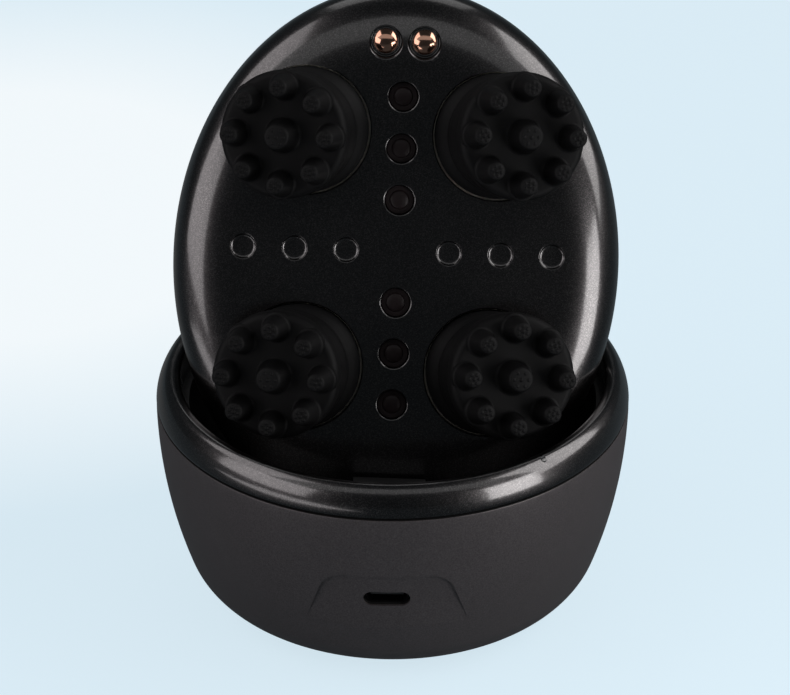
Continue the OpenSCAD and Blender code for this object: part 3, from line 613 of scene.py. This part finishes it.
screw = {
    "at": 20.0, "headRadius": 2.3, "headLow": 0.95, "headTop": 2.15, "headEdge": 0.35,
    "shank": 1.1, "top": 10.8, "point": 0.6, "pointWidth": 0.45,
    "crossLength": 2.6, "crossWidth": 0.62, "crossDepth": 0.8, "turnFrom": 12, "turnStep": 23,
}


def crossCutter(length, width, low, high):
    arms = [block("crossArm", (length, width, high - low),
                  turn(angle, "Z") @ shift(0, 0, (low + high) / 2)) for angle in (0, 90)]
    return carved(arms[0], arms[1], "UNION")


def makeDockScrews():
    edge = screw["headEdge"]
    rounding = arc(screw["headRadius"] - edge, screw["headLow"] + edge, edge, edge, -80, 0, 4)
    rings = ([(screw["headRadius"] - edge, screw["headLow"])] + rounding
             + [(screw["headRadius"], screw["headTop"]), (screw["shank"], screw["headTop"]),
                (screw["shank"], screw["top"] - screw["point"]),
                (screw["shank"] * screw["pointWidth"], screw["top"])])
    head = turned("dockScrew", rings, 48)
    carved(head, crossCutter(screw["crossLength"], screw["crossWidth"], screw["headLow"] - 1,
                             screw["headLow"] + screw["crossDepth"]))
    smooth(head)
    places = [turn(90 * quarter, "Z") @ shift(screw["at"], 0, 0)
              @ turn(screw["turnStep"] * quarter + screw["turnFrom"], "Z")
              for quarter in range(4)]
    return repeated("dockScrews", head, places)


finished(makeDockScrews(), "steel", "dock", "steel", "dock_screws")
print("dock made")


# massager shells

shell = {
    "half": 46.75, "long": 57.6, "drop": 3.0, "frontDepth": 12.0, "backDepth": 36.0,
    "wall": 2.2, "part": 13.0, "partGap": 0.05, "frontInset": 0.22, "backInset": 0.25,
    "flat": 30.0, "softWidth": 14.0, "fullness": 2.8,
}
stretch = shell["long"] / shell["half"]
dots = {"pitch": 10.65, "well": 3.05, "wellLip": 0.28, "wellLow": -6.0, "dimple": 2.75,
        "dimpleDepth": 0.55}
contacts = {"pitch": 8.0, "up": 43.25, "hole": 3.35, "flare": 0.62, "holeLow": -6.0,
            "dome": 2.5, "top": -0.02, "bulge": 0.95, "shank": 2.3, "foot": -5.0}
heads = {"x": 19.75, "y": math.sqrt(31.5 ** 2 - 19.75 ** 2), "hole": 13.3, "holeLip": 0.3,
         "holeLow": -9.0, "tilt": 12.0, "pivot": 10.0, "lean": 9.0}
button = {"up": 27.0, "radius": 7.0, "edge": 0.35, "hole": 7.25, "proud": 0.6, "flange": 8.2,
          "flangeInset": 2.5, "plugTop": -35.65, "stem": 2.2, "stemLow": -37.0,
          "stemTop": -32.85}
corners = {"ul": (-1, 1), "ur": (1, 1), "ll": (-1, -1), "lr": (1, -1)}


def ovalBody(name, rings, steps=256):
    piece = turned(name, rings, steps)
    return moved(piece, shift(0, -shell["drop"], 0) @ Matrix.Diagonal((1, stretch, 1, 1)))


def shoulderArc(inset, start, end, count):
    # the face turns down gently and the edge tightly
    return arc(shell["half"] - shell["softWidth"], -shell["frontDepth"],
               shell["softWidth"] - inset, shell["frontDepth"] - inset,
               start, end, count, shell["fullness"])


def backArc(inset, start, end, count):
    return arc(0, -shell["frontDepth"], shell["half"] - inset, shell["backDepth"] - inset,
               start, end, count)


def lipCutter(name, radius, flare, low, steps=64):
    # a drill with a rounded lip, so that the edge catches the light
    lip = arc(radius + flare, -flare, flare, flare, 180, 96, 8)
    clear = [(radius + flare, 0.02), (radius + flare, 2)]
    return turned(name, [(radius, low), (radius, -flare - 0.4)] + lip + clear, steps)


def dishCutter():
    # a shallow dish with a filleted floor and a soft edge
    low, wide = -dots["dimpleDepth"], dots["dimple"]
    rings = ([(0.6, low - 0.02), (wide - 0.85, low)]
             + arc(wide - 0.85, low + 0.62, 0.75, 0.62, -70, -12, 6)
             + [(wide + 0.06, 0.02), (wide + 0.5, 1.5)])
    return turned("dishCutter", rings, 64)


def partAngle(depth):
    # where the curve of the back meets the parting line
    return -math.degrees(math.asin((depth - shell["frontDepth"]) / shell["backDepth"]))


def makeFaceShell():
    outer = ([(shell["half"] - shell["frontInset"], -shell["part"])]
             + backArc(0, partAngle(shell["part"]) * 0.7, 0, 3)
             + shoulderArc(0, 3, 90, 40)[1:] + [(shell["flat"], 0)])
    inner = [(shell["flat"], -shell["wall"])] + shoulderArc(shell["wall"], 90, 0, 16)
    edge = [(shell["half"] - shell["wall"] - 0.02, -shell["part"])]
    body = ovalBody("faceShell", inner + edge + outer)
    for side in (-1, 1):
        for step in (1, 2, 3):
            along = side * step * dots["pitch"]
            well = lipCutter("wellCutter", dots["well"], dots["wellLip"], dots["wellLow"])
            carved(body, moved(well, shift(0, along, 0)))
            carved(body, moved(dishCutter(), shift(along, 0, 0)))
        hole = lipCutter("contactCutter", contacts["hole"], contacts["flare"],
                         contacts["holeLow"])
        carved(body, moved(hole, shift(side * contacts["pitch"] / 2, contacts["up"], 0)))
    for sx, sy in corners.values():
        hole = lipCutter("headCutter", heads["hole"], heads["holeLip"], heads["holeLow"], 160)
        carved(body, moved(hole, shift(sx * heads["x"], sy * heads["y"], 0)))
    return levelled(smooth(moved(body, seated)))


def makeBackShell():
    # both curves stop short of the axis
    low = shell["part"] + shell["partGap"]
    limit = partAngle(low)
    inner = backArc(shell["wall"], -89.2, limit, 40)
    outer = [(shell["half"] - shell["backInset"], -low)] + backArc(0, limit * 1.4, -89.2, 56)
    body = ovalBody("backShell", list(reversed(inner + outer)))
    hole = drill("buttonHole", button["hole"], -60, -20, 96)
    carved(body, moved(hole, shift(0, button["up"], 0)))
    return moved(smooth(body), seated)


finished(makeFaceShell(), "pearl", "massager", "shell_pearl", "face_plate")
finished(makeBackShell(), "pearl", "massager", "shell_pearl", "back_shell")
print("shells made")


# lenses, collars and contacts

lens = {"flange": 3.4, "flangeLow": -3.0, "flangeTop": -2.25, "rim": 3.0, "top": -1.2,
        "edge": 0.12, "bulge": 2.0, "rise": 0.55}


def makeLenses():
    rings = [(lens["flange"], lens["flangeLow"]), (lens["flange"], lens["flangeTop"]),
             (lens["rim"], lens["flangeTop"]), (lens["rim"], lens["top"] - lens["edge"]),
             (lens["rim"] - lens["edge"], lens["top"]), (lens["bulge"] + 0.1, lens["top"])]
    dome = arc(0, lens["top"] - 0.02, lens["bulge"], lens["rise"], 0, 86, 9)
    places = [shift(0, side * step * dots["pitch"], 0) for side in (-1, 1) for step in (1, 2, 3)]
    return moved(repeated("wellLenses", turned("lens", rings + dome, 64), places), seated)


finished(makeLenses(), "lens", "massager", "red_lens", "led_lenses")

collar = {"low": -4.0, "top": -0.9, "inner": 2.54, "outer": 3.32, "flange": 3.7,
          "flangeTop": -3.1, "lip": 0.17, "valley": 0.35, "valleyInset": 0.3}
contactPlaces = [shift(side * contacts["pitch"] / 2, contacts["up"], 0) for side in (-1, 1)]


def makeCollars():
    # two rounded lips with a valley between them
    lip, lipZ = collar["lip"], collar["top"] - collar["lip"]
    valleyZ, inset = collar["top"] - collar["valley"], collar["valleyInset"]
    rings = ([(collar["inner"], collar["low"]), (collar["flange"], collar["low"]),
              (collar["flange"], collar["flangeTop"]), (collar["outer"], collar["flangeTop"])]
             + arc(collar["outer"] - lip, lipZ, lip, lip, 0, 150, 8)
             + [(collar["outer"] - inset, valleyZ), (collar["inner"] + inset, valleyZ)]
             + arc(collar["inner"] + lip, lipZ, lip, lip, 30, 180, 8))
    one = turned("collar", rings, 64, closed=True)
    return moved(repeated("contactCollars", one, contactPlaces), seated)


finished(makeCollars(), "glossResin", "massager", "black_resin", "contact_collars")


def makeContacts():
    # a domed pin: the ball's radius follows from the dome's width and bulge
    wide, bulge = contacts["dome"], contacts["bulge"]
    ball = (wide ** 2 + bulge ** 2) / (2 * bulge)
    start = math.degrees(math.asin((ball - bulge) / ball))
    low = contacts["top"] - bulge
    rings = ([(contacts["shank"], contacts["foot"]), (contacts["shank"], collar["low"]),
              (wide, collar["low"] + 0.2), (wide, low - 0.08)]
             + arc(0, contacts["top"] - ball, ball, ball, start, 89, 18))
    one = turned("contact", rings, 64)
    return moved(repeated("contactDomes", one, contactPlaces), seated)


finished(makeContacts(), "gold", "massager", "contact_gold", "contact_pins")
print("contacts made")


# button on the back

def makeButton():
    # the cap keeps the curve of the back; its flange stays behind the shell
    place = shift(0, button["up"], 0)

    def slab(name, inset, lift):
        rings = backArc(inset, -89.2, -40, 60) + [(20, -30.0)]
        return moved(ovalBody(name, rings, 192), shift(0, 0, lift))

    def drum(name, radius):
        return moved(drill(name, radius, -60, button["plugTop"], 96), place)

    plug = carved(drum("powerCap", button["radius"]), slab("capCurve", 0, -button["proud"]),
                  "INTERSECT")
    softened(plug, button["edge"], 3)
    flange = carved(drum("capFlange", button["flange"]),
                    slab("flangeCurve", button["flangeInset"], 0), "INTERSECT")
    carved(plug, flange, "UNION")
    stem = drill("capStem", button["stem"], button["stemLow"], button["stemTop"], 48)
    carved(plug, moved(stem, place), "UNION")
    return moved(smooth(plug), seated)


finished(makeButton(), "button", "button", "button_grey", "power_button")


# heads

pad = {
    "radius": 13.1, "low": 18.5, "top": 22.5, "edge": 1.5, "lowEdge": 0.3, "socket": 5.05,
    "socketTop": 20.8, "dish": 10.5, "ring": 9.85, "count": 8, "length": 6.6, "root": 2.6,
    "tip": 1.9, "middleRoot": 3.4, "middleTip": 2.6, "fillet": 0.7, "crown": 1.0,
    "nub": 0.52, "nubs": 6, "nubRing": 1.0, "middleNubRing": 1.5, "nubDrop": 0.12,
}


def makeFinger(name, root, tip, ringAt):
    # a tapered finger whose tip carries a ring of small knobs round one
    high, fillet = pad["top"] + pad["length"], pad["fillet"]
    foot = arc(root + fillet, pad["top"] + fillet, fillet, fillet, -100, -172, 5)
    crown = arc(tip - fillet, high - pad["crown"], fillet, fillet, 8, 80, 6)
    rings = [(root + 0.75, pad["top"] - 0.6)] + foot + crown + [(0.25, high - 0.28)]
    finger = turned(name, rings, 40, degrees=50)
    spots = [(ringAt, 360 * k / pad["nubs"], pad["nubDrop"]) for k in range(pad["nubs"])]
    for out, angle, drop in spots + [(0, 0, 0)]:
        clearSelection()
        bpy.ops.mesh.primitive_uv_sphere_add(segments=14, ring_count=8, radius=pad["nub"] * mm)
        knob = named("nub")
        x, y = out * math.cos(math.radians(angle)), out * math.sin(math.radians(angle))
        carved(finger, moved(knob, shift(x, y, high - pad["nub"] - drop)), "UNION")
    return finger


def makePad():
    small, large = pad["lowEdge"], pad["edge"]
    rings = ([(pad["socket"], pad["socketTop"]), (pad["socket"], pad["low"])]
             + arc(pad["radius"] - small, pad["low"] + small, small, small, -90, 0, 4)
             + arc(pad["radius"] - large, pad["top"] - large, large, large, 0, 90, 10)
             + [(pad["dish"], pad["top"] - 0.02), (0.4, pad["top"] - 0.05)])
    disc = turned("padDisc", rings, 160)
    places = [turn(360 / pad["count"] * k, "Z") @ shift(pad["ring"], 0, 0)
              for k in range(pad["count"])]
    outer = makeFinger("fingerModel", pad["root"], pad["tip"], pad["nubRing"])
    ring = repeated("fingerRing", outer, places)
    middle = makeFinger("middleFinger", pad["middleRoot"], pad["middleTip"],
                        pad["middleNubRing"])
    return smooth(joined("fingerPad", [disc, ring, middle]), 50)


boot = {
    "radius": 12.9, "wall": 1.0, "foot": 1.8, "low": -3.7, "footTop": -2.5, "cutAt": 18.2,
    # the outer skin with its soft crease: in from the side, up from the face
    "skin": [(0, 0.0), (0, 0.9), (0.12, 1.4), (0.5, 2.0), (1.0, 2.5), (1.2, 2.85), (1.1, 3.3),
             (0.8, 3.9), (0.55, 4.5), (0.5, 5.2), (0.5, 14.0)],
    "cutter": (100, 100, 50),
}


def makeBoot():
    # drawn up towards the tilted head and cut off square to it
    topAt = boot["cutAt"]
    lean = math.sin(math.radians(heads["tilt"])) * topAt
    lean /= topAt * math.cos(math.radians(heads["tilt"])) - heads["pivot"]
    r, wall, low, footTop = boot["radius"], boot["wall"], boot["low"], boot["footTop"]
    skin = [(r - inset, z) for inset, z in boot["skin"]]
    inner = [(across - wall, z) for across, z in reversed(skin)]
    tip = r - wall - boot["foot"]
    foot = [(r - wall, footTop + 0.25), (r - wall - 0.25, footTop), (tip + 0.2, footTop),
            (tip, footTop - 0.2), (tip, low + 0.2), (tip + 0.2, low), (r - 0.3, low),
            (r, low + 0.3)]
    sleeve = turned("bootSleeve", skin + inner + foot, 128, closed=True, degrees=60, sway=lean)
    cutter = block("bootCutter", boot["cutter"],
                   shift(0, 0, -heads["pivot"]) @ turn(heads["tilt"], "Y")
                   @ shift(0, 0, topAt + boot["cutter"][2] / 2))
    return smooth(carved(sleeve, cutter), 50)


padModel = makePad()
bootModel = makeBoot()
for corner, (sx, sy) in corners.items():
    leanTo = heads["lean"] + (180 if sx < 0 else 0)
    spot = seated @ shift(sx * heads["x"], sy * heads["y"], 0)
    tilted = (spot @ shift(0, 0, -heads["pivot"]) @ turn(leanTo, "Z")
              @ turn(heads["tilt"], "Y") @ turn(-leanTo, "Z"))
    onePad = copied(padModel, "fingerPad_" + corner, tilted)
    finished(onePad, "silicone", "head_" + corner, "silicone", "pad_" + corner)
    oneBoot = copied(bootModel, "boot_" + corner + "_skin", spot @ turn(leanTo, "Z"))
    finished(oneBoot, "silicone", "crank_" + corner, "silicone", "boot_" + corner)
bpy.data.objects.remove(padModel)
bpy.data.objects.remove(bootModel)
print("heads made")


# camera

viewpoint = {"azimuth": 1.4, "elevation": 30.0, "distance": 700.0, "target": (0.5, 0.0, 54.6),
             "focal": 151.56, "sensor": 36, "clipEnd": 50}


def makeCamera():
    swing = turn(viewpoint["azimuth"], "Z")
    rise = math.radians(viewpoint["elevation"])
    target = swing @ (Vector(viewpoint["target"]) * mm)
    back = swing @ Vector((0, -math.cos(rise), math.sin(rise)))
    eye = bpy.data.cameras.new("camera")
    eye.lens = viewpoint["focal"]
    eye.sensor_width = viewpoint["sensor"]
    eye.clip_end = viewpoint["clipEnd"]
    camera = bpy.data.objects.new("camera", eye)
    bpy.context.collection.objects.link(camera)
    camera.matrix_world = (Matrix.Translation(target + back * viewpoint["distance"] * mm)
                           @ swing @ turn(90 - viewpoint["elevation"], "X"))
    bpy.context.scene.camera = camera


makeCamera()


# stage and light, in metres

stage = {
    "colour": (0.708, 0.847, 0.930), "lightPoolColour": (0.925, 0.972, 0.995), "floorSize": 14.0,
    "shade": 0.13, "lightPoolAt": (-0.11, 0.165), "lightPoolCore": 0.07, "lightPoolEdge": 0.15,
    "mirrored": 0.10, "fillColour": (1.0, 0.97, 0.98), "fill": 0.18, "dark": 0.045,
}


def makeFloor():
    # paper that glows for the camera, evenly except for a painted pool of light at the left, and
    # takes a faint shadow
    clearSelection()
    bpy.ops.mesh.primitive_plane_add(size=stage["floorSize"])
    floor = named("floor")
    finish = Finish("palePaper")
    finish.paint(Base_Color=rgb(*stage["colour"]), Roughness=0.9, Specular_IOR_Level=0.1)
    lit = Wire(finish, finish.skin.outputs[0])
    # painted light: a soft paler pool on the paper at the left, seen by the camera and, faintly,
    # in reflections
    away = finish.node("ShaderNodeVectorMath", {"operation": "DISTANCE"},
                       {0: finish.place, 1: (*stage["lightPoolAt"], 0)}, "Value")
    spot = finish.ramp(away, [(stage["lightPoolCore"], (1, 1, 1)), (stage["lightPoolEdge"], (0, 0, 0))])
    tone = finish.mix(spot, rgb(*stage["colour"]), rgb(*stage["lightPoolColour"]))
    glow = finish.node("ShaderNodeEmission", {}, {"Color": tone, "Strength": 1.0})
    faint = finish.node("ShaderNodeEmission", {},
                        {"Color": tone, "Strength": stage["mirrored"]})
    direct, through, mirrored = [
        finish.node("ShaderNodeLightPath", {}, {}, ray)
        for ray in ("Is Camera Ray", "Is Transmission Ray", "Is Glossy Ray")]
    seen = (direct + through) * (1 - stage["shade"])
    both = finish.mixShaders(mirrored, finish.mixShaders(seen, lit, glow), faint)
    finish.tree.links.new(both.socket, finish.output.inputs[0])
    floor.data.materials.append(finish.material)


def makeWorld():
    # one tone behind the stage, one that fills the shadows and a dark one for reflections
    world = bpy.data.worlds.new("studio")
    bpy.context.scene.world = world
    world.use_nodes = True
    tree = world.node_tree
    tree.nodes.clear()

    def tone(colour, strength):
        made = tree.nodes.new("ShaderNodeBackground")
        made.inputs[0].default_value = rgb(*colour)
        made.inputs[1].default_value = strength
        return made.outputs[0]

    def choose(*sockets):
        made = tree.nodes.new("ShaderNodeMixShader")
        for place, socket in zip(made.inputs, sockets):
            tree.links.new(socket, place)
        return made.outputs[0]

    rays = tree.nodes.new("ShaderNodeLightPath").outputs
    lighting = choose(rays["Is Glossy Ray"], tone(stage["fillColour"], stage["fill"]),
                      tone(stage["colour"], stage["dark"]))
    seen = choose(rays["Is Camera Ray"], lighting, tone(stage["colour"], 1.0))
    tree.links.new(seen, tree.nodes.new("ShaderNodeOutputWorld").inputs[0])


# bearing is measured from the slot towards the right, all angles in degrees
rosy, cream, white = (1.0, 0.95, 0.96), (1.0, 0.975, 0.97), (1.0, 1.0, 1.0)
aim = Vector((0, 0, 0.07))
lamps = {
    "leftBox": {"bearing": -60, "rise": 18, "away": 0.8, "wide": 46, "tall": 28,
                "glow": 2.7, "colour": rosy},
    "leftTop": {"bearing": -86, "rise": 47, "away": 0.8, "wide": 40, "tall": 32,
                "glow": 2.1, "colour": rosy},
    "rightBox": {"bearing": 54, "rise": 3, "away": 0.27, "wide": 25, "tall": 27,
                 "glow": 7.6, "colour": cream},
    "rightTop": {"bearing": 92, "rise": 33, "away": 0.8, "wide": 41, "tall": 44,
                 "glow": 3.9, "colour": cream},
    "backBox": {"bearing": 180, "rise": 50, "away": 0.9, "wide": 44, "tall": 30,
                "glow": 0.9, "colour": white},
    "topBox": {"bearing": 0, "rise": 54, "away": 1.25, "wide": 90, "tall": 26,
               "glow": 0.55, "colour": white},
}
# this one lies on the floor beside the dock and shines up
card = {"bearing": -46, "from": 0.25, "to": 0.90, "wide": 0.34, "lift": 0.004, "glow": 2.6,
        "colour": rosy}


def makeLamp(name, place, facing, wide, tall, facts):
    data = bpy.data.lights.new(name, "AREA")
    data.shape = "RECTANGLE"
    data.size, data.size_y = wide, tall
    data.energy = facts["glow"] * math.pi * wide * tall
    data.color = facts["colour"]
    lamp = bpy.data.objects.new(name, data)
    bpy.context.collection.objects.link(lamp)
    lamp.location = place
    lamp.rotation_euler = facing
    lamp.visible_camera = False


def makeLamps():
    for name, facts in lamps.items():
        swing, rise = math.radians(facts["bearing"]), math.radians(facts["rise"])
        level = math.cos(rise)
        out = Vector((math.sin(swing) * level, -math.cos(swing) * level, math.sin(rise)))
        wide, tall = [2 * facts["away"] * math.tan(math.radians(facts[side] / 2))
                      for side in ("wide", "tall")]
        facing = (-out).to_track_quat("-Z", "Y").to_euler()
        makeLamp(name, aim + out * facts["away"], facing, wide, tall, facts)
    swing, reach = math.radians(card["bearing"]), (card["from"] + card["to"]) / 2
    place = (math.sin(swing) * reach, -math.cos(swing) * reach, card["lift"])
    makeLamp("leftCard", place, (math.pi, 0, swing), card["wide"], card["to"] - card["from"],
             card)


makeFloor()
makeWorld()
makeLamps()
bpy.context.scene.view_settings.view_transform = "Standard"
print("stage ready")
